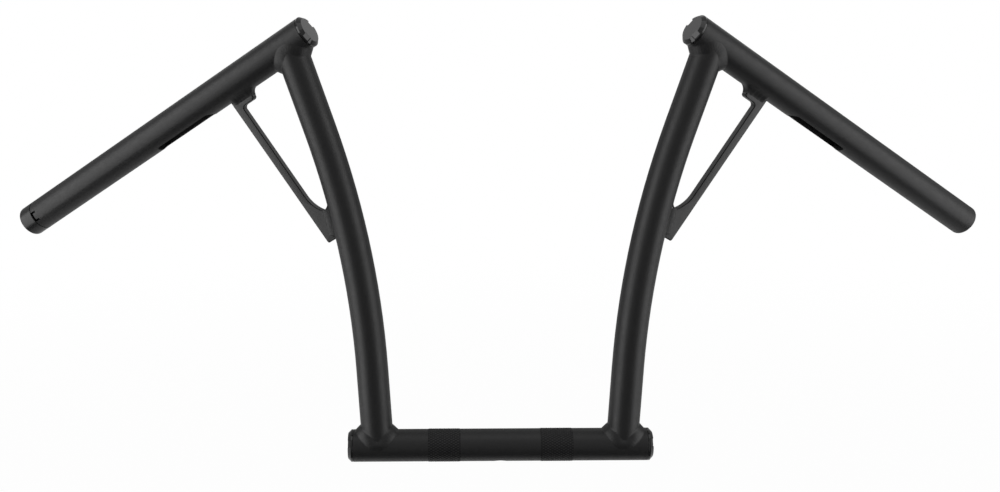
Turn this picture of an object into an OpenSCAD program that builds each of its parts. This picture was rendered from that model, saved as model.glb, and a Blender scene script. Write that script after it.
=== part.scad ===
// Motorcycle handlebar: a welded steel bar with a straight clamp tube, two bent risers,
// two grip tubes that fall outwards and sweep back, and a flat gusset plate in each corner.
// Millimetres. The origin is the middle of the clamp tube's axis. +X runs along the clamp
// tube to the clutch side (the rider's left), -Y points to the front of the motorcycle,
// and +Z is up, along the plane in which both risers stand.

/* [Clamp tube] */
// Outside diameter of the clamp tube and of both grip tubes
tube_od = 25.4; // [22:0.1:32]
// Wall thickness of all tubes
tube_wall = 3.05; // [2:0.05:4]
// Length of the clamp tube past each riser axis, without the end plug
clamp_overhang = 19.3; // [17.5:0.1:40]
// Diameter of the wire exit in the underside of the clamp tube
exit_d = 14; // [8:0.5:16]

/* [Risers] */
// Outside diameter of the riser tubes, a hair under the tubes they are coped to
riser_od = 25.2; // [20:0.1:31.8]
// Distance between the two riser axes where they meet the clamp tube
riser_span = 194; // [160:1:196]
// Outward lean of a riser at its foot, in degrees
riser_lean_low = 3.6; // [0:0.1:8]
// Outward lean of a riser at its top, in degrees
riser_lean_high = 19; // [15:0.1:24]
// Length of the straight stretch below the bend
riser_straight_low = 62; // [40:1:90]
// Bend radius of a riser, on its axis
riser_bend_r = 726; // [500:1:900]
// Length of the straight stretch above the bend, up to the grip tube's axis
riser_straight_high = 68.5; // [50:0.5:100]
// Diameter of the wire passages drilled inside the welded joints
passage_d = 14; // [8:0.5:16]

/* [Grip tubes] */
// Fall of a grip tube towards its outer end, in degrees
grip_drop = 30.8; // [20:0.1:40]
// Backward sweep of a grip tube, in degrees
grip_sweep = 20.4; // [0:0.1:35]
// Length of a grip tube past the riser axis towards its inner end
grip_inner_len = 16.2; // [15.5:0.1:22]
// Length of the throttle side grip tube, from the riser axis to its outer end
grip_len_throttle = 277; // [200:1:320]
// Length of the clutch side grip tube, from the riser axis to its outer end
grip_len_clutch = 298; // [200:1:340]
// Radius on the rim of the open clutch side end
grip_end_round = 1.5; // [0.4:0.1:1.5]

/* [Wiring slots] */
// Distance from the riser axis to the inner end of the throttle side slot
slot_start_throttle = 85; // [80:1:110]
// Distance from the riser axis to the inner end of the clutch side slot
slot_start_clutch = 92; // [80:1:110]
// Length of a wiring slot
slot_len = 58; // [30:1:70]
// Width of a wiring slot
slot_w = 12.7; // [8:0.1:14]
// Corner radius of a wiring slot's outer end
slot_corner = 2.5; // [1:0.1:3.5]

/* [Throttle end] */
// Length of the sleeve past the end of the throttle side tube
sleeve_len = 13.5; // [8:0.5:20]
// Radius on the sleeve's outer rim
sleeve_round = 2; // [0.5:0.1:3]
// Width across the two key slots in the end of the throttle side tube
key_w = 8.6; // [7:0.1:10]
// Depth of the key slots
key_depth = 4.8; // [3:0.1:6]
// Width of one key slot
key_slot_w = 1.6; // [1:0.1:1.6]
// Length by which the tongue between the key slots is cut back
key_tongue_gap = 1.9; // [1:0.1:2.4]
// Angle of the key slots below the front of the tube, in degrees
key_angle = 7; // [-20:1:20]

/* [End plugs] */
// Thickness of a plug's flange
plug_flange = 1.8; // [1.5:0.1:3]
// Depth of the bevel between the flange and the flat face
plug_bevel = 2.5; // [1:0.1:4]
// Diameter of a plug's flat face
plug_face_d = 20.4; // [16:0.1:21]
// Length of the stub of a plug or of the sleeve, and depth of the seat cut for it
stub_len = 8; // [5:0.5:8]
// Width of the two spanner notches in a plug
notch_w = 6; // [4:0.1:8]
// Radius of the notch floor at the flat face
notch_floor_r = 7.8; // [6:0.1:8.5]
// Slope of the notch floor, in degrees
notch_slope = 38; // [30:1:45]
// Angle of a grip tube plug's notch below the front, in degrees
grip_notch_angle = 33; // [-90:1:90]
// Angle of a clamp tube plug's notch above the front, in degrees
clamp_notch_angle = 25; // [-90:1:90]

/* [Gussets] */
// Thickness of a gusset plate
gusset_t = 6.4; // [4:0.1:8]
// Width of the strut that joins its two feet
strut_w = 6.2; // [5:0.1:10]
// Distance from the riser axis to the strut's outer edge, along the grip tube
strut_top = 68; // [58:0.5:80]
// Distance from the same axis to the strut's outer corner at its lower end
strut_low = 59.2; // [56:0.1:64]
// Distance from the grip tube's axis down to the strut's lower end
gusset_drop = 146; // [140:1:150]
// Distance from the riser axis to the tip of the upper foot
foot_tip = 48; // [38:0.5:52]
// Height of the upper foot below the grip tube's axis
foot_low = 20.2; // [18:0.1:24]
// Radius at the tip of the upper foot
foot_tip_r = 2.4; // [1:0.1:3]
// Radius in the corner between the upper foot and the strut
foot_fillet_r = 3.2; // [1:0.1:6]
// Radius of the curve that takes the strut's inner edge to the riser
crotch_r = 28; // [20:1:34]
// Distance from the grip tube's axis to the start of that curve
crotch_start = 105.5; // [100:0.5:110]
// Radius at the strut's lower outer corner
strut_corner_r = 1.2; // [0.5:0.1:2]

/* [Weld beads] */
// Leg of the beads at the riser joints, in the corners of a joint
weld_leg = 4.3; // [3:0.1:5]
// Leg of those beads at the front and back of a joint
weld_leg_flat = 3.6; // [3:0.1:5]
// Crown of those beads in the corners of a joint
weld_crown = 0.1; // [0:0.05:1]
// Crown of those beads at the front and back of a joint
weld_crown_flat = 0.8; // [0.2:0.1:2]
// Leg of the beads along the gussets
gusset_leg = 4; // [2.5:0.1:5]
// Crown of the beads along the gussets
gusset_crown = 0.3; // [0.1:0.1:1]
// Height at which the riser beads' root line runs past the front and back of a joint
weld_rise = 3.5; // [2:0.1:4.5]
// Length of the beads on the gusset's lower foot
low_weld_len = 22; // [16:0.5:24]
// Length by which the beads on the upper foot stop short of the strut's outer edge
weld_stop = 0.5; // [0:0.1:4]

/* [Hidden] */
$fn = 96;

throttle = -1;
clutch = 1;
bar_color = "#232425";
weld_color = "#2a2b2c";
plug_color = "#151617";
sleeve_color = "#3a3b3d";

// Clearances, overlaps of cutting tools, how far a bead's toes sink into what they join, and
// how much bending draws a riser's wall in
fit_gap = 0.05;
cut_over = 1;
toe_sink = 0.15;
edge_break = 0.4;
stub_lead = 1;
splice = 1;
bend_draw = 0.02;
low_weld_reach = 2;
corner_blend = 0.05;

tube_r = tube_od / 2;
bore_r = tube_r - tube_wall;
seat_r = bore_r + tube_wall / 2;
stub_r = seat_r - fit_gap;
clamp_len = riser_span + 2 * clamp_overhang;
riser_r = riser_od / 2;
riser_bore_r = riser_r - tube_wall;

// The riser's axis in the XZ plane on the clutch side: foot, start and end of the bend, top
foot_pt = [riser_span / 2, 0, 0];
function lean_dir(a) = [sin(a), 0, cos(a)];
function lean_side(a) = [cos(a), 0, -sin(a)];
bend_start = foot_pt + riser_straight_low * lean_dir(riser_lean_low);
bend_centre = bend_start + riser_bend_r * lean_side(riser_lean_low);
function bend_pt(a) = bend_centre - riser_bend_r * lean_side(a);
joint_pt = bend_pt(riser_lean_high) + riser_straight_high * lean_dir(riser_lean_high);

// Directions at the upper joint on the clutch side: along the grip tube, down the riser,
// and the gusset's plane, which holds both
function unit(v) = v / norm(v);
grip_dir = [cos(grip_drop) * cos(grip_sweep), cos(grip_drop) * sin(grip_sweep), -sin(grip_drop)];
riser_down = -lean_dir(riser_lean_high);
gusset_down = unit(riser_down - (riser_down * grip_dir) * grip_dir);
gusset_rear = cross(grip_dir, gusset_down);
joint_angle = acos(riser_down * grip_dir);
grip_up = [sin(grip_drop) * cos(grip_sweep), sin(grip_drop) * sin(grip_sweep), cos(grip_drop)];
grip_rear = [-sin(grip_sweep), cos(grip_sweep), 0];
gusset_roll = atan2(gusset_down * grip_rear, -(gusset_down * grip_up));

// Frames
module on_side(side) {
  if (side == clutch) children();
  else mirror([1, 0, 0]) children();
}
module at_grip() translate(joint_pt) rotate([0, 0, grip_sweep]) rotate([0, grip_drop, 0]) children();
module at_gusset() at_grip() rotate([gusset_roll, 0, 0]) rotate([-90, 0, 0]) children();
module at_top_joint() at_grip() rotate([gusset_roll, 0, 0]) rotate([180, 0, 0]) children();
module along_x() rotate([0, 90, 0]) children();

// Solid rods in the place of each tube, for coping and for trimming welds
module clamp_rod() along_x() cylinder(h = clamp_len, r = tube_r, center = true);
module grip_rod(r = tube_r) at_grip() translate([-grip_inner_len, 0, 0]) along_x()
  cylinder(h = grip_inner_len + grip_len_clutch, r = r);
module riser_section(r, hole_r) difference() {
  circle(r = r);
  circle(r = hole_r);
}
module riser_path(r, hole_r) {
  translate(foot_pt) rotate([0, riser_lean_low, 0])
    linear_extrude(riser_straight_low + splice) riser_section(r, hole_r);
  translate(bend_centre) rotate([90, 0, 0]) rotate([0, 0, 180 - riser_lean_high])
    rotate_extrude(angle = riser_lean_high - riser_lean_low, $fn = 360) translate([riser_bend_r, 0])
      riser_section(r - bend_draw, hole_r - bend_draw);
  translate(bend_pt(riser_lean_high)) rotate([0, riser_lean_high, 0])
    translate([0, 0, -splice]) linear_extrude(riser_straight_high + splice) riser_section(r, hole_r);
}

// Clamp tube with a seat for each plug, drilled inside each riser and once in its underside
// for the wires
module clamp_tube() color(bar_color) difference() {
  clamp_rod();
  along_x() cylinder(h = clamp_len + 2 * cut_over, r = bore_r, center = true);
  for (side = [throttle, clutch]) on_side(side) translate([clamp_len / 2 - stub_len, 0, 0])
    along_x() cylinder(h = stub_len + cut_over, r = seat_r);
  for (side = [throttle, clutch]) on_side(side)
    translate(foot_pt) rotate([0, riser_lean_low, 0]) cylinder(h = tube_od, d = passage_d);
  mirror([0, 0, 1]) cylinder(h = tube_od, d = exit_d);
}

// Riser, bent outwards and coped at both ends to the tubes it is welded to
module riser(side) color(bar_color) on_side(side) difference() {
  riser_path(riser_r, riser_bore_r);
  clamp_rod();
  grip_rod();
}

// Outline of a grip tube's wall in half section, with the outer rim rounded, a seat for the
// plug at its inner end and one at its outer end where a sleeve goes in
module wall_section(from, to, rim, outer_seat) {
  difference() {
    translate([bore_r, from]) square([tube_wall, to - from]);
    translate([tube_r - rim, to - rim]) square([rim + cut_over, rim + cut_over]);
    translate([0, from - cut_over]) square([seat_r, stub_len + cut_over]);
    translate([0, to - outer_seat]) square([seat_r, outer_seat + cut_over]);
  }
  translate([tube_r - rim, to - rim]) intersection() {
    circle(r = rim);
    square([rim, rim]);
  }
}

// Outline of a wiring slot: round at its inner end, with small corners at its outer end
module slot_outline(start) {
  inner = start + slot_w / 2;
  outer = start + slot_len;
  translate([inner, 0]) circle(d = slot_w);
  translate([inner, -slot_w / 2]) square([outer - slot_corner - inner, slot_w]);
  translate([inner, slot_corner - slot_w / 2]) square([outer - inner, slot_w - 2 * slot_corner]);
  for (y = [-1, 1]) translate([outer - slot_corner, y * (slot_w / 2 - slot_corner)])
    circle(r = slot_corner);
}

// Key slots in the throttle side end: two narrow slots with a shorter tongue between them
module key_slots() rotate([90 + key_angle, 0, 0]) {
  for (y = [-1, 1])
    translate([grip_len_throttle - key_depth, y * (key_w - key_slot_w) / 2 - key_slot_w / 2, 0])
      cube([key_depth + cut_over, key_slot_w, tube_od]);
  translate([grip_len_throttle - key_tongue_gap, -key_w / 2, 0])
    cube([key_tongue_gap + cut_over, key_w, tube_od]);
}

// Grip tube with its wiring slot underneath and the wire passage inside the riser joint
module grip_tube(side) {
  len = side == clutch ? grip_len_clutch : grip_len_throttle;
  rim = side == clutch ? grip_end_round : edge_break;
  outer_seat = side == clutch ? 0 : stub_len;
  slot_start = side == clutch ? slot_start_clutch : slot_start_throttle;
  color(bar_color) on_side(side) at_grip() difference() {
    along_x() rotate_extrude() wall_section(-grip_inner_len, len, rim, outer_seat);
    mirror([0, 0, 1]) linear_extrude(tube_od) slot_outline(slot_start);
    rotate([gusset_roll, 0, 0]) rotate([180, 0, 0]) rotate([0, 90 - joint_angle, 0])
      cylinder(h = tube_od, d = passage_d);
    if (side == throttle) key_slots();
  }
}

// Gusset plate: u runs along the grip tube from the riser axis, v down towards the riser
strut_edge = unit([strut_low - strut_top, gusset_drop]);
function strut_u(v) = strut_top + (strut_low - strut_top) * v / gusset_drop;
strut_in = strut_w / strut_edge[1];
crotch_top = [strut_u(crotch_start) - strut_in, crotch_start];
crotch_centre = crotch_top + crotch_r * [-strut_edge[1], strut_edge[0]];
fillet_u = strut_u(foot_low) - strut_in;
module gusset_outline() {
  difference() {
    polygon([[strut_u(0) - strut_in, 0], [strut_u(0), 0], [strut_low, gusset_drop],
             [strut_low - strut_in, gusset_drop]]);
    translate([strut_low - strut_corner_r, gusset_drop - strut_corner_r])
      square(strut_corner_r + cut_over);
  }
  translate([strut_low - strut_corner_r * (1 + corner_blend), gusset_drop - strut_corner_r])
    circle(r = strut_corner_r);
  translate([foot_tip + foot_tip_r, 0]) square([strut_u(0) - foot_tip - strut_in, foot_low]);
  translate([foot_tip, 0]) square([foot_tip_r * 2, foot_low - foot_tip_r]);
  translate([foot_tip + foot_tip_r, foot_low - foot_tip_r]) circle(r = foot_tip_r);
  difference() {
    translate([fillet_u - foot_fillet_r, foot_low - cut_over])
      square([foot_fillet_r + cut_over, foot_fillet_r + cut_over]);
    translate([fillet_u - foot_fillet_r, foot_low + foot_fillet_r]) circle(r = foot_fillet_r);
  }
  difference() {
    polygon([crotch_top, [strut_u(crotch_start), crotch_start],
             [strut_low, gusset_drop - strut_corner_r], [strut_low - strut_corner_r, gusset_drop],
             [crotch_centre[0], gusset_drop], [crotch_centre[0], crotch_start]]);
    translate(crotch_centre) circle(r = crotch_r, $fn = 180);
  }
}
module gusset_plate() at_gusset() translate([0, 0, -gusset_t / 2]) linear_extrude(gusset_t)
  gusset_outline();
module gusset(side) color(bar_color) on_side(side) difference() {
  gusset_plate();
  grip_rod();
  translate(bend_centre) rotate([90, 0, 0]) rotate([0, 0, 180 - riser_lean_high])
    rotate_extrude(angle = riser_lean_high - riser_lean_low, $fn = 360) translate([riser_bend_r, 0])
      circle(r = riser_r - bend_draw);
}

// Weld bead round a coped joint. The run lies along X and the branch leaves it at an angle
// in the XZ plane. Each station goes from a toe on the run over the crown to a toe on the
// branch, and back along both tubes by way of the seam where they meet
bead_stations = 48;
bead_facets = 5;
function seam_pt(t, angle, rise) =
  let (y = riser_r * sin(t),
       z = pow(pow(tube_r * tube_r - y * y, 2) + pow(rise, 4), 1 / 4),
       h = (z + riser_r * cos(t) * cos(angle)) / sin(angle))
  [riser_r * cos(t) * sin(angle) + h * cos(angle), y, z];
function branch_normal(t, angle) = [cos(t) * sin(angle), sin(t), -cos(t) * cos(angle)];
function run_normal(p) = unit([0, p[1], p[2]]);
function on_run(p) = [p[0], 0, 0] + tube_r * run_normal(p);
function on_branch(p, angle) =
  let (b = [cos(angle), 0, sin(angle)], foot = (p * b) * b)
  foot + riser_r * unit(p - foot);
function bead_ring(t, angle) =
  let (p = seam_pt(t, angle, weld_rise),
       seam = seam_pt(t, angle, 0),
       n1 = run_normal(p),
       n2 = branch_normal(t, angle),
       along = unit(cross(n1, n2)),
       leg = weld_leg + (weld_leg_flat - weld_leg) * pow(sin(t), 2),
       toe1 = on_run(p - leg * cross(n1, along)),
       toe2 = on_branch(p + leg * cross(n2, along), angle),
       crown = weld_crown + (weld_crown_flat - weld_crown) * pow(sin(t), 2))
  concat([for (i = [0 : bead_facets]) let (f = i / bead_facets)
            toe1 * (1 - f) + toe2 * f + 4 * crown * f * (1 - f) * unit(n1 + n2)],
         [on_branch((toe2 + seam) / 2, angle), seam, on_run((toe1 + seam) / 2)]);
module saddle_bead(angle) {
  ring_len = bead_facets + 4;
  points = [for (k = [0 : bead_stations - 1]) each bead_ring(k * 360 / bead_stations, angle)];
  faces = [for (k = [0 : bead_stations - 1], i = [0 : ring_len - 1])
    let (a = k * ring_len, b = ((k + 1) % bead_stations) * ring_len, j = (i + 1) % ring_len)
    each [[a + i, a + j, b + j], [a + i, b + j, b + i]]];
  polyhedron(points = points, faces = faces);
}
module riser_base_weld(side) color(weld_color) on_side(side)
  translate(foot_pt) saddle_bead(90 - riser_lean_low);
module riser_top_weld(side) color(weld_color) on_side(side)
  at_top_joint() saddle_bead(joint_angle);

// Section of a bead between a gusset's face and a tube of radius r: x is the distance from
// the face and y the distance from the tube's axis. reach carries it further down the tube
module bead_section(r, reach, from = -toe_sink) {
  half = gusset_t / 2;
  top = [0, sqrt(r * r - half * half) + gusset_leg];
  low = [gusset_leg, sqrt(pow(r - toe_sink, 2) - pow(half + gusset_leg, 2))];
  chord = low - top;
  out = unit([-chord[1], chord[0]]);
  arc_r = (chord * chord / 4 + gusset_crown * gusset_crown) / (2 * gusset_crown);
  tip = low + reach * unit(chord);
  intersection() {
    translate((top + low) / 2 - (arc_r - gusset_crown) * out) circle(r = arc_r, $fn = 360);
    polygon([[from, tip[1] - gusset_leg], [from, top[1]], top, top + out, tip + out,
             [tip[0] + out[0], tip[1] - gusset_leg]]);
  }
}

// Bead along both faces of a plate and round its end at x = 0. It runs along X, y is the
// distance from the tube's axis and z goes through the plate
module plate_bead(len, r, reach) {
  for (flip = [0, 1]) mirror([0, 0, flip]) {
    rotate([0, 90, 0]) linear_extrude(len) translate([gusset_t / 2, 0]) bead_section(r, reach);
    translate([0, 0, -gusset_t / 2]) rotate([-90, 0, 0]) rotate([0, 0, 90])
      rotate_extrude(angle = 90) bead_section(r, reach, 0);
  }
  translate([0, 0, -gusset_t / 2]) linear_extrude(gusset_t) mirror([1, 0, 0])
    bead_section(r, reach);
}
module gusset_upper_weld(side) color(weld_color) on_side(side) difference() {
  at_gusset() translate([foot_tip, 0, 0]) plate_bead(strut_u(tube_r) - foot_tip - weld_stop, tube_r, 0);
  grip_rod();
  gusset_plate();
}

// Lower foot: the stretch of riser beside it, seen in the gusset's frame. The bead is cut to
// the straight tube that touches the bend there
low_seat_share = 0.8;
function in_gusset(p) = [(p - joint_pt) * grip_dir, (p - joint_pt) * gusset_down, 0];
function lean_at(v) = riser_lean_high
  - (v / sin(joint_angle) - riser_straight_high) / riser_bend_r * 180 / PI;
low_seat_top = in_gusset(bend_pt(lean_at(gusset_drop - low_seat_share * low_weld_len)));
low_seat_end = in_gusset(bend_pt(lean_at(gusset_drop)));
low_lean = lean_at(gusset_drop - low_weld_len / 2);
low_seat_turn = atan2(low_seat_end[1] - low_seat_top[1], low_seat_end[0] - low_seat_top[0]);
module gusset_lower_weld(side) color(weld_color) on_side(side) difference() {
  at_gusset() translate(low_seat_top) rotate([0, 0, low_seat_turn]) mirror([0, 1, 0])
    plate_bead(low_weld_len, riser_r, low_weld_reach);
  translate(bend_pt(low_lean)) rotate([0, low_lean, 0])
    cylinder(h = gusset_drop, r = riser_r, center = true);
  gusset_plate();
}

// End plug: a flange over the tube's end, a bevel to a flat face with two spanner notches,
// and a stub that fits the seat. It points along +Z, with a notch towards +X
module plug() color(plug_color) {
  cylinder(h = edge_break, r1 = tube_r - edge_break, r2 = tube_r);
  translate([0, 0, edge_break]) cylinder(h = plug_flange - edge_break, r = tube_r);
  translate([0, 0, stub_lead - stub_len]) cylinder(h = stub_len - stub_lead, r = stub_r);
  translate([0, 0, -stub_len]) cylinder(h = stub_lead, r1 = stub_r - stub_lead, r2 = stub_r);
  translate([0, 0, plug_flange]) difference() {
    cylinder(h = plug_bevel, r1 = tube_r, d2 = plug_face_d);
    for (turn = [0, 180]) rotate([0, 0, turn]) plug_notch();
  }
}
module plug_notch() intersection() {
  translate([notch_floor_r, 0, plug_bevel]) rotate([0, notch_slope, 0])
    translate([-tube_r, -notch_w / 2, 0]) cube([tube_od, notch_w, tube_r]);
  translate([0, -notch_w, 0]) cube([tube_od, 2 * notch_w, tube_r]);
}
module clamp_plug(side) on_side(side) translate([clamp_len / 2, 0, 0])
  rotate([-90 - clamp_notch_angle, 0, 0]) along_x() plug();
module grip_plug(side) on_side(side) at_grip() translate([-grip_inner_len, 0, 0])
  rotate([90 + grip_notch_angle, 0, 0]) rotate([0, -90, 0]) plug();

// Sleeve that lengthens the throttle side end, with a stub in the tube's seat. Its bore
// carries the tube's bore on
module sleeve_section() {
  translate([bore_r, -stub_len]) square([stub_r - bore_r, stub_len + cut_over]);
  difference() {
    translate([bore_r, 0]) square([tube_wall, sleeve_len]);
    translate([tube_r - sleeve_round, sleeve_len - sleeve_round])
      square([sleeve_round + cut_over, sleeve_round + cut_over]);
  }
  translate([tube_r - sleeve_round, sleeve_len - sleeve_round]) intersection() {
    circle(r = sleeve_round);
    square([sleeve_round, sleeve_round]);
  }
}
module throttle_end_sleeve() color(sleeve_color) on_side(throttle) at_grip()
  translate([grip_len_throttle, 0, 0]) along_x() rotate_extrude() sleeve_section();

clamp_tube();
riser(throttle);  // throttle_side_riser
riser(clutch);  // clutch_side_riser
grip_tube(throttle);  // throttle_side_grip_tube
grip_tube(clutch);  // clutch_side_grip_tube
gusset(throttle);  // throttle_side_gusset
gusset(clutch);  // clutch_side_gusset
riser_base_weld(throttle);  // throttle_side_riser_base_weld
riser_base_weld(clutch);  // clutch_side_riser_base_weld
riser_top_weld(throttle);  // throttle_side_riser_top_weld
riser_top_weld(clutch);  // clutch_side_riser_top_weld
gusset_upper_weld(throttle);  // throttle_side_gusset_upper_weld
gusset_upper_weld(clutch);  // clutch_side_gusset_upper_weld
gusset_lower_weld(throttle);  // throttle_side_gusset_lower_weld
gusset_lower_weld(clutch);  // clutch_side_gusset_lower_weld
clamp_plug(throttle);  // throttle_side_clamp_plug
clamp_plug(clutch);  // clutch_side_clamp_plug
grip_plug(throttle);  // throttle_side_grip_plug
grip_plug(clutch);  // clutch_side_grip_plug
throttle_end_sleeve();
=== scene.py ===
import math

import bpy
from mathutils import Matrix, Vector, noise


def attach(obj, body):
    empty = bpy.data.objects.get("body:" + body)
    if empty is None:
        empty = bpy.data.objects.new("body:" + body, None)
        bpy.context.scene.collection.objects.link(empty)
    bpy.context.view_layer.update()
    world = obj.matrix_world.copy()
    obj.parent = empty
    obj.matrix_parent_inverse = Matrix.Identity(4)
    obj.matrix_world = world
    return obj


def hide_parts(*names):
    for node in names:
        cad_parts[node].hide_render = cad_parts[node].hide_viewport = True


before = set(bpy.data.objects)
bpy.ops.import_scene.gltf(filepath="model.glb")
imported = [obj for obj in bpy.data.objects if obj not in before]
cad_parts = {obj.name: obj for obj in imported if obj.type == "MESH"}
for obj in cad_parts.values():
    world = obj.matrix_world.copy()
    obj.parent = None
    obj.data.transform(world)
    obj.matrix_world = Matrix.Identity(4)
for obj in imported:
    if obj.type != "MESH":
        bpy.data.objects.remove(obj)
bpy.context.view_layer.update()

MM = 0.001
SIDES = {"throttle_side": -1, "clutch_side": 1}

# Sizes of the bar, in millimetres, as in part.scad
TUBE_R = 12.7
RISER_R = 12.6
RISER_HALF_SPAN = 97.0
LEAN_LOW, LEAN_HIGH = math.radians(3.6), math.radians(19.0)
STRAIGHT_LOW, BEND_R, STRAIGHT_HIGH = 62.0, 726.0, 68.5
DROP, SWEEP = math.radians(30.8), math.radians(20.4)
GUSSET_T, FOOT_TIP, STRUT_TOP, STRUT_LOW, GUSSET_DROP = 6.4, 48.0, 68.0, 59.2, 146.0
WELD_LEG, WELD_LEG_FLAT, WELD_RISE = 4.3, 3.6, 3.5
GUSSET_LEG, LOW_LEG = 4.0, 4.6
LOW_WELD_LEN, LOW_SEAT_SHARE, UPPER_WELD_GAP = 22.0, 0.8, 0.5
KNURL_CENTRE, KNURL_LEN = 44.45, 25.4
SLEEVE_SEAT = 277.0

# Beads, in millimetres: their crowns, the lift and run of their toes, and how far the toes'
# outer edges lie under the tubes
CROWN_CORNER, CROWN_BASE, CROWN_TOP, FOOT_CROWN = 0.0, 0.9, 0.25, -0.7
TOE_LIFT, TOE_RUN, SINK = 0.14, 0.55, 0.02
BEAD_POINTS, SADDLE_STATIONS, FOOT_STEP, CORNER_POINTS, END_POINTS = 8, 300, 0.3, 10, 8
# Crescent ripples, slower lumps and the wander of the toes
RIPPLE_PITCH, RIPPLE_BOW, RIPPLE_HEIGHT = 1.9, 0.35, 0.06
LUMP_HEIGHT, LUMP_ALONG, LUMP_ACROSS = 0.1, 0.22, 0.6
SADDLE_WANDER, SADDLE_WANDER_SCALE = 0.2, 2.0
FOOT_WANDER, FOOT_WANDER_SCALE = 0.2, 0.3
TAPER_START, TAPER_LEN = 0.12, 2.4
# Places in the noise, so that no two beads of a side have the same lumps
PHASE_START, PHASE_STEP, PHASE_LOW = 3.0, 5.0, 9.0
# Knurling: starts round the tube, points to a start, step of the rows, and form of a diamond
KNURL_STARTS, KNURL_SAMPLES, KNURL_STEP = 38, 8, 0.25
KNURL_RISE, KNURL_HEIGHT, KNURL_FLAT, KNURL_LIFT, KNURL_END = 3.53, 0.24, 1.2, 0.01, 0.6
# Height over the tube within which the knurl's valleys get painted shade
VALLEY_SHADE_REACH = 0.18
# Rounding of the plates' edges, how close their points are joined, and how sharp an edge is
# rounded
PLATE_ROUNDING, PLATE_MERGE, PLATE_ANGLE = 0.7, 0.05, math.radians(60)
# Width of the painted shadow line at the sleeve's joint
SEAM_SHADE_WIDTH = 0.5


# Frames of the bar, for the clutch side
def lean_dir(angle):
    return Vector((math.sin(angle), 0, math.cos(angle)))


def lean_side(angle):
    return Vector((math.cos(angle), 0, -math.sin(angle)))


foot = Vector((RISER_HALF_SPAN, 0, 0))
bend_centre = foot + STRAIGHT_LOW * lean_dir(LEAN_LOW) + BEND_R * lean_side(LEAN_LOW)


def bend_pt(angle):
    return bend_centre - BEND_R * lean_side(angle)


joint = bend_pt(LEAN_HIGH) + STRAIGHT_HIGH * lean_dir(LEAN_HIGH)
grip_dir = Vector(
    (math.cos(DROP) * math.cos(SWEEP), math.cos(DROP) * math.sin(SWEEP), -math.sin(DROP))
)
riser_down = -lean_dir(LEAN_HIGH)
gusset_down = (riser_down - riser_down.dot(grip_dir) * grip_dir).normalized()
gusset_rear = grip_dir.cross(gusset_down)
joint_angle = math.acos(riser_down.dot(grip_dir))


def frame_matrix(x, y, z, origin):
    """Columns are the frame's axes, in the row frame, for the clutch side."""
    m = Matrix((x, y, z)).transposed().to_4x4()
    m.translation = origin
    return m


base_frame = frame_matrix(Vector((1, 0, 0)), Vector((0, 1, 0)), Vector((0, 0, 1)), foot)
top_frame = frame_matrix(grip_dir, -gusset_rear, gusset_down, joint)
gusset_frame = frame_matrix(grip_dir, gusset_down, gusset_rear, joint)


def mesh_piece(name, verts, faces, material, side, place=None):
    """A mesh that rides on the bar, put in place; side -1 mirrors it to the throttle side."""
    place = place or Matrix.Identity(4)
    mesh = bpy.data.meshes.new(name)
    points = [Matrix.Scale(side, 4, (1, 0, 0)) @ place @ v * MM for v in verts]
    if side * place.determinant() < 0:
        faces = [tuple(reversed(f)) for f in faces]
    mesh.from_pydata(points, [], faces)
    mesh.validate()
    mesh.polygons.foreach_set("use_smooth", [True] * len(mesh.polygons))
    mesh.update()
    mesh.materials.append(material)
    obj = bpy.data.objects.new(name, mesh)
    bpy.context.scene.collection.objects.link(obj)
    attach(obj, "root")
    return obj


def ring_faces(rings, size, closed_path, closed_ring):
    faces = []
    for k in range(rings if closed_path else rings - 1):
        a, b = k * size, ((k + 1) % rings) * size
        for i in range(size if closed_ring else size - 1):
            j = (i + 1) % size
            faces.append((a + i, a + j, b + j, b + i))
    return faces


def ripple(distance, across, phase):
    """Height in mm of a bead's crescent ripples: distance along it, across from -1 to 1."""
    cycle = (distance / RIPPLE_PITCH + RIPPLE_BOW * across * across) % 1.0
    wave = 1.0 - (2.0 * cycle - 1.0) ** 2
    lump = noise.noise(Vector((distance * LUMP_ALONG, across * LUMP_ACROSS, phase)))
    return (1.0 - across * across) * (RIPPLE_HEIGHT * wave + LUMP_HEIGHT * lump)


def crowned_ring(toe1, toe2, out, crown, distance, phase):
    """Points over a bead, from just above one toe to just above the other."""
    points = []
    for i in range(BEAD_POINTS + 1):
        f = i / BEAD_POINTS
        bulge = TOE_LIFT + 4 * f * (1 - f) * crown
        points.append(toe1.lerp(toe2, f) + (bulge + ripple(distance, 2 * f - 1, phase)) * out)
    return points


# Round welds where a riser meets the clamp tube or a grip tube
def seam_point(t, angle, rise):
    y = RISER_R * math.sin(t)
    z = ((TUBE_R**2 - y * y) ** 2 + rise**4) ** 0.25
    h = (z + RISER_R * math.cos(t) * math.cos(angle)) / math.sin(angle)
    return Vector((RISER_R * math.cos(t) * math.sin(angle) + h * math.cos(angle), y, z))


def on_run(p):
    normal = Vector((0, p.y, p.z)).normalized()
    return Vector((p.x, 0, 0)) + (TUBE_R - SINK) * normal


def on_branch(p, angle):
    axis = Vector((math.cos(angle), 0, math.sin(angle)))
    base = p.dot(axis) * axis
    return base + (RISER_R - SINK) * (p - base).normalized()


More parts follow.
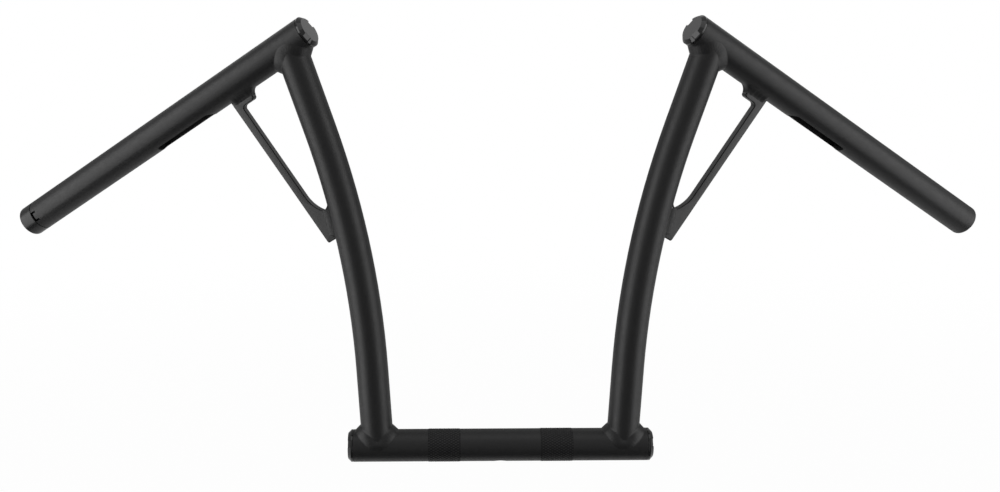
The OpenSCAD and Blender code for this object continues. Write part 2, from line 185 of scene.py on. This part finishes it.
def saddle_bead(name, angle, crown_flat, place, side, phase, material):
    rings, travelled, last = [], 0.0, None
    for k in range(SADDLE_STATIONS):
        t = 2 * math.pi * k / SADDLE_STATIONS
        p = seam_point(t, angle, WELD_RISE)
        travelled += (p - last).length if last else 0.0
        last = p
        n1 = Vector((0, p.y, p.z)).normalized()
        n2 = Vector(
            (math.cos(t) * math.sin(angle), math.sin(t), -math.cos(t) * math.cos(angle))
        )
        along = n1.cross(n2).normalized()
        leg = WELD_LEG + (WELD_LEG_FLAT - WELD_LEG) * math.sin(t) ** 2
        scale = SADDLE_WANDER_SCALE
        leg += SADDLE_WANDER * noise.noise(
            Vector((math.cos(t) * scale, math.sin(t) * scale, phase))
        )
        to_run, to_branch = -n1.cross(along), n2.cross(along)
        toe1, toe2 = on_run(p + leg * to_run), on_branch(p + leg * to_branch, angle)
        crown = CROWN_CORNER + (crown_flat - CROWN_CORNER) * math.sin(t) ** 2
        ring = crowned_ring(toe1, toe2, (n1 + n2).normalized(), crown, travelled, phase)
        far1 = on_run(p + (leg + TOE_RUN) * to_run)
        far2 = on_branch(p + (leg + TOE_RUN) * to_branch, angle)
        rings.append([far1] + ring + [far2])
    size = len(rings[0])
    verts = [v for ring in rings for v in ring]
    faces = ring_faces(len(rings), size, True, False)
    return mesh_piece(name, verts, faces, material, side, place)


# Welds along both faces of a gusset's foot and round its end
def foot_path(length, step):
    """(x, z, outward x, outward z) along one face, round the foot's end, and back."""
    half = GUSSET_T / 2
    path = []
    runs = max(2, round(length / step))
    for i in range(runs):
        path.append((length * (1 - i / runs), -half, 0.0, -1.0))
    for i in range(CORNER_POINTS + 1):
        a = math.radians(90 + 90 * i / CORNER_POINTS)
        path.append((0.0, -half, math.cos(a), -math.sin(a)))
    for i in range(1, END_POINTS):
        path.append((0.0, -half + GUSSET_T * i / END_POINTS, -1.0, 0.0))
    back = [(x, -z, nx, -nz) for x, z, nx, nz in path[: runs + CORNER_POINTS + 1]]
    return path + back[::-1]


def foot_bead(name, length, base_r, base_z, leg, place, side, phase, material):
    """place takes x along the seam, y away from the tube's axis and z through the plate."""
    path = foot_path(length, FOOT_STEP)
    rings, travelled, last = [], 0.0, None
    for x, z, nx, nz in path:
        mid = Vector((x + nx * leg * 0.5, 0, z + nz * leg * 0.5))
        travelled += (mid - last).length if last else 0.0
        last = mid
        taper = min(1.0, TAPER_START + (length - x) / TAPER_LEN)
        wander = noise.noise(Vector((travelled * FOOT_WANDER_SCALE, 0, phase)))
        size = leg * taper * (1 + FOOT_WANDER * wander)
        seat = math.sqrt(base_r**2 - (z - base_z) ** 2)
        toe1 = Vector((x - nx * SINK, seat + size, z - nz * SINK))
        far_z = z + nz * size
        fall = math.sqrt((base_r - SINK) ** 2 - (far_z - base_z) ** 2)
        toe2 = Vector((x + nx * size, fall, far_z))
        chord = toe2 - toe1
        out = Vector((nx * -chord.y, abs(chord.dot(Vector((nx, 0, nz)))), nz * -chord.y))
        out.normalize()
        ring = crowned_ring(toe1, toe2, out, FOOT_CROWN * taper, travelled, phase)
        far1 = toe1 + Vector((0, TOE_RUN, 0))
        far_z = z + nz * (size + TOE_RUN)
        fall = math.sqrt((base_r - SINK) ** 2 - (far_z - base_z) ** 2)
        rings.append([far1] + ring + [Vector((x + nx * (size + TOE_RUN), fall, far_z))])
    size = len(rings[0])
    verts = [v for ring in rings for v in ring]
    faces = ring_faces(len(rings), size, False, False)
    return mesh_piece(name, verts, faces, material, side, place)


# Knurled bands where the riser clamps grip the clamp tube
def knurl_band(name, side, material):
    rows = round(KNURL_LEN / KNURL_STEP)
    columns = KNURL_STARTS * KNURL_SAMPLES
    verts = []
    for i in range(rows + 1):
        x = KNURL_CENTRE + KNURL_LEN * (i / rows - 0.5)
        edge = min(1.0, (KNURL_LEN / 2 - abs(x - KNURL_CENTRE)) / KNURL_END)
        for j in range(columns):
            a = j / KNURL_SAMPLES
            u, v = (a + x / KNURL_RISE) % 1.0, (a - x / KNURL_RISE) % 1.0
            peak = min(1 - abs(2 * u - 1), 1 - abs(2 * v - 1))
            height = edge * KNURL_HEIGHT * min(1.0, KNURL_FLAT * peak)
            r = TUBE_R + KNURL_LIFT + height
            t = 2 * math.pi * j / columns
            verts.append(Vector((x, r * math.sin(t), r * math.cos(t))))
    faces = ring_faces(rows + 1, columns, False, True)
    return mesh_piece(name, verts, faces, material, side)


# Materials
def nodes_of(name):
    material = bpy.data.materials.new(name)
    material.use_nodes = True
    tree = material.node_tree
    return material, tree, tree.nodes["Principled BSDF"]


def add(tree, kind, **values):
    """A new node, with its sockets and settings by name."""
    node = tree.nodes.new(kind)
    for key, value in values.items():
        if key in node.inputs:
            node.inputs[key].default_value = value
        else:
            setattr(node, key, value)
    return node


def ranged(tree, source, span, result, interpolation="LINEAR"):
    """Maps a value from one range to another, and holds it at both ends."""
    node = add(tree, "ShaderNodeMapRange", interpolation_type=interpolation)
    for socket, value in zip(("From Min", "From Max", "To Min", "To Max"), (*span, *result)):
        node.inputs[socket].default_value = value
    tree.links.new(source, node.inputs["Value"])
    return node.outputs["Result"]


def combined(tree, operation, first, second):
    """The result of a math node on an output and another output or a number."""
    node = add(tree, "ShaderNodeMath", operation=operation)
    tree.links.new(first, node.inputs[0])
    if isinstance(second, float):
        node.inputs[1].default_value = second
    else:
        tree.links.new(second, node.inputs[1])
    return node.outputs[0]


def axis_values(tree, source):
    """The X, Y and Z outputs of a vector."""
    split = add(tree, "ShaderNodeSeparateXYZ")
    tree.links.new(source, split.inputs["Vector"])
    return split.outputs


def mottled(tree, coords, scale, low, high, detail=4.0):
    """A value from low to high that follows a noise of that many cells a metre."""
    cloud = add(tree, "ShaderNodeTexNoise", Scale=scale, Detail=detail)
    tree.links.new(coords.outputs["Object"], cloud.inputs["Vector"])
    return ranged(tree, cloud.outputs["Fac"], NOISE_SPAN, (low, high))


def coat(name, dark, light, rough, grain, grain_height, gloss):
    """A sprayed coat: mottled colour, uneven roughness and a fine raised grain."""
    material, tree, shader = nodes_of(name)
    coords = add(tree, "ShaderNodeTexCoord")
    tint = add(tree, "ShaderNodeMix", data_type="RGBA")
    tint.inputs["A"].default_value = (*dark, 1)
    tint.inputs["B"].default_value = (*light, 1)
    tree.links.new(mottled(tree, coords, COLOUR_SCALE, 0.0, 1.0), tint.inputs["Factor"])
    tree.links.new(tint.outputs["Result"], shader.inputs["Base Color"])
    tree.links.new(mottled(tree, coords, ROUGH_SCALE, *rough), shader.inputs["Roughness"])
    bump = add(tree, "ShaderNodeBump", Strength=1.0, Distance=grain_height)
    tree.links.new(mottled(tree, coords, grain, 0.0, 1.0, 2.0), bump.inputs["Height"])
    tree.links.new(bump.outputs["Normal"], shader.inputs["Normal"])
    shader.inputs["Specular IOR Level"].default_value = gloss
    return material


def gloss_of(material):
    """A coat's nodes, the socket of its reflection and that socket's value."""
    tree = material.node_tree
    socket = tree.nodes["Principled BSDF"].inputs["Specular IOR Level"]
    return tree, socket, socket.default_value


def paint_valley_shade(material, low, high, share):
    """Paints shade into the knurl's valleys: takes the reflection down to a share of itself
    where the knurl is lowest.
    """
    tree, socket, full = gloss_of(material)
    axes = axis_values(tree, add(tree, "ShaderNodeTexCoord").outputs["Object"])
    across = add(tree, "ShaderNodeCombineXYZ")
    tree.links.new(axes["Y"], across.inputs["Y"])
    tree.links.new(axes["Z"], across.inputs["Z"])
    radius = add(tree, "ShaderNodeVectorMath", operation="LENGTH")
    tree.links.new(across.outputs["Vector"], radius.inputs[0])
    span = (low * MM, high * MM)
    tree.links.new(ranged(tree, radius.outputs["Value"], span, (share * full, full)), socket)


def paint_slot_and_seam_shade(material):
    """Paints shade: takes the reflection off the sleeve's stub, which shows through the tube's
    slots, and off a thin line where it meets the tube, as shadow in the slots and in the joint.
    """
    tree, socket, full = gloss_of(material)
    axis = Vector((-grip_dir.x, grip_dir.y, grip_dir.z))
    start = Vector((-joint.x, joint.y, joint.z)).dot(axis) + SLEEVE_SEAT + SEAM_SHADE_WIDTH
    along = add(tree, "ShaderNodeVectorMath", operation="DOT_PRODUCT")
    tree.links.new(add(tree, "ShaderNodeTexCoord").outputs["Object"], along.inputs[0])
    along.inputs[1].default_value = axis
    outside = combined(tree, "GREATER_THAN", along.outputs["Value"], start * MM)
    tree.links.new(combined(tree, "MULTIPLY", outside, full), socket)


def paint_inner_edge_shade(material, share):
    """Paints shade on what faces the bar's middle, where the photo is dark: takes the reflection
    down there.
    """
    tree, socket, full = gloss_of(material)
    place = add(tree, "ShaderNodeNewGeometry")
    normal_x = axis_values(tree, place.outputs["Normal"])["X"]
    place_x = axis_values(tree, place.outputs["Position"])["X"]
    outward = combined(tree, "MULTIPLY", normal_x, place_x)
    tree.links.new(ranged(tree, outward, INNER_SPAN, (share * full, full)), socket)


# Scales are cells a metre and heights metres; rough is the least and most roughness
NOISE_SPAN, COLOUR_SCALE, ROUGH_SCALE = (0.3, 0.7), 900.0, 260.0
POWDER = {
    "dark": (0.0035, 0.0035, 0.0037), "light": (0.0065, 0.0065, 0.0068),
    "rough": (0.4, 0.48), "grain": 1800.0, "grain_height": 0.000022, "gloss": 0.31,
}
PLATE = {**POWDER, "rough": (0.4, 0.44), "grain_height": 0.000008, "gloss": 0.46}
KNURL = {**POWDER, "rough": (0.4, 0.5), "grain": 2200.0, "grain_height": 0.00002, "gloss": 0.33}
PLUG = {
    "dark": (0.003, 0.003, 0.0032), "light": (0.004, 0.004, 0.0042),
    "rough": (0.1, 0.16), "grain": 300.0, "grain_height": 0.000003, "gloss": 0.4,
}
SLEEVE = {
    "dark": (0.004, 0.004, 0.0042), "light": (0.006, 0.006, 0.0062),
    "rough": (0.26, 0.32), "grain": 700.0, "grain_height": 0.000004, "gloss": 0.3,
}
# Shares of the reflection left where shade is painted: in the knurl's valleys, and on the
# plates' edges that face the bar's middle
VALLEY_SHADE_SHARE, EDGE_SHADE_SHARE = 0.1, 0.3
# X of the normal times X of the place in metres, below zero where a face looks inwards
INNER_SPAN = (-0.02, 0.0)

powder = coat("powder_coat", **POWDER)
weld_coat = coat("weld_coat", **POWDER)
knurl_coat = coat("knurl_coat", **KNURL)
plate_coat = coat("plate_coat", **PLATE)
# Plate coat for the rounded edges, with painted shade where they face the bar's middle
edge_coat_with_painted_shade = coat("edge_coat_with_painted_shade", **PLATE)
plug_gloss = coat("plug_gloss", **PLUG)
sleeve_gloss = coat("sleeve_gloss", **SLEEVE)
paint_valley_shade(knurl_coat, TUBE_R, TUBE_R + VALLEY_SHADE_REACH, VALLEY_SHADE_SHARE)
paint_inner_edge_shade(edge_coat_with_painted_shade, EDGE_SHADE_SHARE)
paint_slot_and_seam_shade(sleeve_gloss)


def round_edges(node):
    """Rounds a plate's long edges, in the edge coat with painted shade on its inward side, and
    keeps its faces flat.
    """
    joined = node.modifiers.new("joined_points", "WELD")
    joined.merge_threshold = PLATE_MERGE * MM
    rounding = node.modifiers.new("rounded_edges", "BEVEL")
    rounding.width = PLATE_ROUNDING * MM
    rounding.segments = 2
    rounding.limit_method = "ANGLE"
    rounding.angle_limit = PLATE_ANGLE
    rounding.use_clamp_overlap = False
    rounding.loop_slide = False
    rounding.miter_outer = "MITER_ARC"
    rounding.material = 1
    even = node.modifiers.new("even_normals", "WEIGHTED_NORMAL")
    even.weight = 100


NODE_MATERIALS = {
    "_gusset": plate_coat,
    "_plug": plug_gloss,
    "_sleeve": sleeve_gloss,
}
for node_name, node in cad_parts.items():
    chosen = powder
    for ending, material in NODE_MATERIALS.items():
        if node_name.endswith(ending):
            chosen = material
    node.data.materials.clear()
    node.data.materials.append(chosen)
    if chosen == plate_coat:
        node.data.materials.append(edge_coat_with_painted_shade)
        round_edges(node)


# Places of the gussets' beads
def lean_at(depth):
    """The riser's lean at that depth below the grip tube's axis, across the gusset."""
    arc = depth / math.sin(joint_angle) - STRAIGHT_HIGH
    return LEAN_HIGH - arc / BEND_R


def in_gusset(p):
    d = p - joint
    return Vector((d.dot(grip_dir), d.dot(gusset_down), d.dot(gusset_rear)))


low_top = in_gusset(bend_pt(lean_at(GUSSET_DROP - LOW_SEAT_SHARE * LOW_WELD_LEN)))
low_end = in_gusset(bend_pt(lean_at(GUSSET_DROP)))
low_along = Vector((low_end.x - low_top.x, low_end.y - low_top.y, 0)).normalized()
low_place = gusset_frame @ frame_matrix(
    low_along,
    Vector((low_along.y, -low_along.x, 0)),
    Vector((0, 0, 1)),
    Vector((low_top.x, low_top.y, 0)),
)
low_offset = (low_top.z + low_end.z) / 2
strut_slope = (STRUT_LOW - STRUT_TOP) / GUSSET_DROP
upper_len = STRUT_TOP + strut_slope * TUBE_R - FOOT_TIP - UPPER_WELD_GAP
upper_place = gusset_frame @ Matrix.Translation((FOOT_TIP, 0, 0))

# Weld beads and knurling
for side_name, side in SIDES.items():
    phase = PHASE_START + side
    for weld, angle, crown, place in (
        ("_riser_base_weld", math.pi / 2 - LEAN_LOW, CROWN_BASE, base_frame),
        ("_riser_top_weld", joint_angle, CROWN_TOP, top_frame),
    ):
        name = side_name + weld
        bead = saddle_bead(name + "_bead", angle, crown, place, side, phase, weld_coat)
        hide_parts(name)
        phase += PHASE_STEP
    for foot_name, length, base_r, base_z, leg, place, shift in (
        ("_gusset_upper", upper_len, TUBE_R, 0.0, GUSSET_LEG, upper_place, 0.0),
        ("_gusset_lower", LOW_WELD_LEN, RISER_R, low_offset, LOW_LEG, low_place, PHASE_LOW),
    ):
        name = side_name + foot_name
        bead = foot_bead(
            name + "_bead", length, base_r, base_z, leg, place, side, phase + shift, weld_coat
        )
        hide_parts(name + "_weld")
    knurl_band(side_name + "_knurl", side, knurl_coat)

# Floor, lights and camera
GLOSSY_SHARE = 0.12
FLOOR_Z, FLOOR_HALF, FLOOR_FRONT, FRONT_FADE = -0.35, 12.0, -0.06, 0.25
FLOOR_COLOUR, FLOOR_ROUGH, FLOOR_GLOSS = 0.86, 0.9, 0.1
WHITE_NEAR, WHITE_FAR, WHITE_SPAN, FRONT_WHITE = 0.95, 1.0, (0.5, 3.0), (1.0, 0.9)


def white_share(tree):
    """How white a surface or the world shows: all white to the camera and through glass, and
    a share of that in reflections."""
    path = add(tree, "ShaderNodeLightPath").outputs
    seen = combined(tree, "MAXIMUM", path["Is Camera Ray"], path["Is Transmission Ray"])
    mirrored = combined(tree, "MULTIPLY", path["Is Glossy Ray"], GLOSSY_SHARE)
    return combined(tree, "MAXIMUM", seen, mirrored)


def mixed(tree, share, first, second, output):
    """Joins two shaders by a share, as the tree's surface."""
    node = add(tree, "ShaderNodeMixShader")
    tree.links.new(share, node.inputs["Fac"])
    tree.links.new(first, node.inputs[1])
    tree.links.new(second, node.inputs[2])
    tree.links.new(node.outputs["Shader"], tree.nodes[output].inputs["Surface"])


# The floor shows shadows near the bar, and fades to white far off and at its front edge
floor_material, tree, shader = nodes_of("pale_floor")
shader.inputs["Base Color"].default_value = (FLOOR_COLOUR, FLOOR_COLOUR, FLOOR_COLOUR, 1)
shader.inputs["Roughness"].default_value = FLOOR_ROUGH
shader.inputs["Specular IOR Level"].default_value = FLOOR_GLOSS
coords = add(tree, "ShaderNodeTexCoord")
reach = add(tree, "ShaderNodeVectorMath", operation="LENGTH")
tree.links.new(coords.outputs["Object"], reach.inputs[0])
far_white = ranged(
    tree, reach.outputs["Value"], WHITE_SPAN, (WHITE_NEAR, WHITE_FAR), "SMOOTHSTEP"
)
floor_y = axis_values(tree, coords.outputs["Object"])["Y"]
front_white = ranged(tree, floor_y, (FLOOR_FRONT, FRONT_FADE), FRONT_WHITE, "SMOOTHSTEP")
whiter = combined(tree, "MAXIMUM", far_white, front_white)
glow = add(tree, "ShaderNodeEmission", Strength=1.0)
mixed(
    tree,
    combined(tree, "MULTIPLY", white_share(tree), whiter),
    shader.outputs["BSDF"],
    glow.outputs["Emission"],
    "Material Output",
)
floor_mesh = bpy.data.meshes.new("floor")
floor_mesh.from_pydata(
    [
        (-FLOOR_HALF, FLOOR_FRONT, FLOOR_Z),
        (FLOOR_HALF, FLOOR_FRONT, FLOOR_Z),
        (FLOOR_HALF, FLOOR_HALF, FLOOR_Z),
        (-FLOOR_HALF, FLOOR_HALF, FLOOR_Z),
    ],
    [],
    [(0, 1, 2, 3)],
)
floor_mesh.materials.append(floor_material)
floor = bpy.data.objects.new("floor", floor_mesh)
bpy.context.scene.collection.objects.link(floor)

# Studio: bright above, dark below, dimmer behind; strengths by the direction a ray goes, as
# the span of that direction's part along an axis and the strength at each end of it
HEIGHT = ("Z", (-0.75, 0.2), (0.0, 0.42))
OVERHEAD = ("Z", (0.1, 0.9), (1.0, 1.5))
BEHIND = ("Y", (-0.2, 0.9), (1.0, 0.55))
world = bpy.data.worlds.new("studio")
bpy.context.scene.world = world
world.use_nodes = True
tree = world.node_tree
studio = tree.nodes["Background"]
studio.inputs["Color"].default_value = (1, 1, 1, 1)
direction = axis_values(tree, add(tree, "ShaderNodeTexCoord").outputs["Generated"])
height, overhead, behind = (
    ranged(tree, direction[axis], span, result, "SMOOTHSTEP")
    for axis, span, result in (HEIGHT, OVERHEAD, BEHIND)
)
strength = combined(tree, "MULTIPLY", combined(tree, "MULTIPLY", height, behind), overhead)
tree.links.new(strength, studio.inputs["Strength"])
seen_world = add(tree, "ShaderNodeBackground", Strength=1.0)
seen_world.inputs["Color"].default_value = (1, 1, 1, 1)
mixed(
    tree,
    white_share(tree),
    studio.outputs["Background"],
    seen_world.outputs["Background"],
    "World Output",
)

# Lamps: name, place and size in metres, and power in watts
LAMP_TARGET = Vector((0.0, 0.0, 0.18))
LAMPS = (
    ("left_lamp", (-1.3, -0.5, 0.1), (1.1, 1.9), 20.0),
    ("right_lamp", (1.3, -0.5, 0.1), (1.1, 1.9), 16.0),
    ("back_left_lamp", (-0.87, 1.46, 1.22), (1.0, 1.0), 1.8),
    ("back_right_lamp", (0.87, 1.46, 1.22), (1.0, 1.0), 1.8),
    ("top_lamp", (0.0, -0.5, 1.9), (1.8, 1.2), 5.0),
)
for name, place, size, power in LAMPS:
    data = bpy.data.lights.new(name, "AREA")
    data.shape = "RECTANGLE"
    data.size, data.size_y = size
    data.energy = power
    lamp = bpy.data.objects.new(name, data)
    lamp.location = place
    lamp.rotation_euler = (LAMP_TARGET - Vector(place)).to_track_quat("-Z", "Y").to_euler()
    bpy.context.scene.collection.objects.link(lamp)

# Camera fitted to the photograph: distance and target in millimetres, focal length and
# principal point in pixels of the 1000 by 492 frame
CAM_DISTANCE, CAM_TARGET = 907.3, Vector((-45.26, 0.0, 204.95))
CAM_PITCH, CAM_YAW, CAM_ROLL = math.radians(6.89), math.radians(-0.15), math.radians(-0.29)
FOCAL_PX, CENTRE_PX = 1170.48, (441.91, 189.37)
IMAGE_W, IMAGE_H, SENSOR = 1000.0, 492.0, 36.0
back = Vector(
    (
        math.sin(CAM_YAW) * math.cos(CAM_PITCH),
        -math.cos(CAM_YAW) * math.cos(CAM_PITCH),
        math.sin(CAM_PITCH),
    )
)
right = Vector((0, 0, 1)).cross(back).normalized()
up = back.cross(right)
rolled_right = math.cos(CAM_ROLL) * right + math.sin(CAM_ROLL) * up
rolled_up = -math.sin(CAM_ROLL) * right + math.cos(CAM_ROLL) * up
camera_data = bpy.data.cameras.new("camera")
camera_data.sensor_width = SENSOR
camera_data.lens = SENSOR * FOCAL_PX / IMAGE_W
camera_data.shift_x = (IMAGE_W / 2 - CENTRE_PX[0]) / IMAGE_W
camera_data.shift_y = -(IMAGE_H / 2 - CENTRE_PX[1]) / IMAGE_W
camera_data.clip_start = 0.01
camera = bpy.data.objects.new("camera", camera_data)
camera_place = (CAM_TARGET + CAM_DISTANCE * back) * MM
camera.matrix_world = frame_matrix(rolled_right, rolled_up, back, camera_place)
bpy.context.scene.collection.objects.link(camera)
bpy.context.scene.camera = camera
bpy.context.scene.view_settings.view_transform = "Standard"
